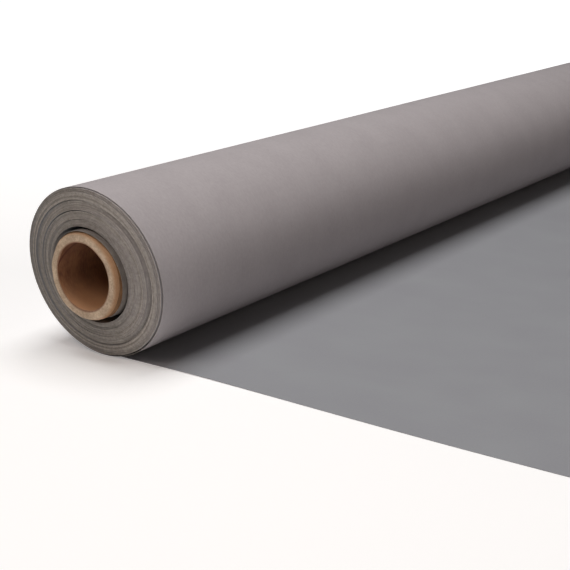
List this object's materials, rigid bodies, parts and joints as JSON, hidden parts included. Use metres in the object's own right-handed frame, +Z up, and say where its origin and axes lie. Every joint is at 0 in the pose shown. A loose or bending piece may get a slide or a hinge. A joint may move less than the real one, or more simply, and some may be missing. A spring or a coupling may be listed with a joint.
{
  "type": "backdrop paper roll",
  "caption": "Roll of seamless backdrop paper on a paper tube core, lying on the floor with its first stretch drawn out flat; the roll rolls along over that stretch to take it up.",
  "frame": {"origin": "on the axis of the core's bore, at the middle of the roll's length", "axes": "+Y along the roll's axis, +Z up, +X the way the drawn-out stretch runs from the roll; the floor is at z = -0.06505 m"},
  "size_m": [0.5852, 1.374, 0.1295],
  "materials": {
    "backdrop_paper": "matt grey paper, smooth printing side and fibrous back",
    "core_liner_board": "brown kraft liner with helical seams",
    "core_ply_board": "cut ends of grey-brown tube board",
    "core_kraft_board": "brown kraft wrap",
    "tape": "double-sided cloth tape"
  },
  "bodies": {
    "laid_stretch": {"web_laid": "backdrop_paper"},
    "leaving_web": {"web_leadoff": "backdrop_paper"},
    "roll": {"core_liner": "core_liner_board", "core_ply_01": "core_ply_board", "core_ply_02": "core_ply_board", "core_ply_03": "core_ply_board", "core_ply_04": "core_ply_board", "core_ply_05": "core_ply_board", "core_ply_06": "core_ply_board", "core_ply_07": "core_ply_board", "core_ply_08": "core_ply_board", "core_ply_09": "core_ply_board", "core_ply_10": "core_ply_board", "core_ply_11": "core_ply_board", "core_wrap": "core_kraft_board", "start_tape": "tape", "web_first_turn": "backdrop_paper", "web_inner_turns": "backdrop_paper", "web_middle_turns": "backdrop_paper", "web_outer_turns": "backdrop_paper", "web_top_turn": "backdrop_paper"}
  },
  "joints": [
    {"name": "roll_travel", "type": "slide", "parent": "laid_stretch", "child": "leaving_web", "axis": [1, 0, 0], "range_m": [0, 0.46], "deforming": ["web_laid"]},
    {"name": "roll_turn", "type": "hinge", "parent": "leaving_web", "child": "roll", "pos_m": [0, 0, 0], "axis": [0, 1, 0], "range_deg": [0, 409]}
  ],
  "couplings": [
    {"joint": "roll_turn", "follows": "roll_travel", "rad_per_m": 15.504}
  ]
}
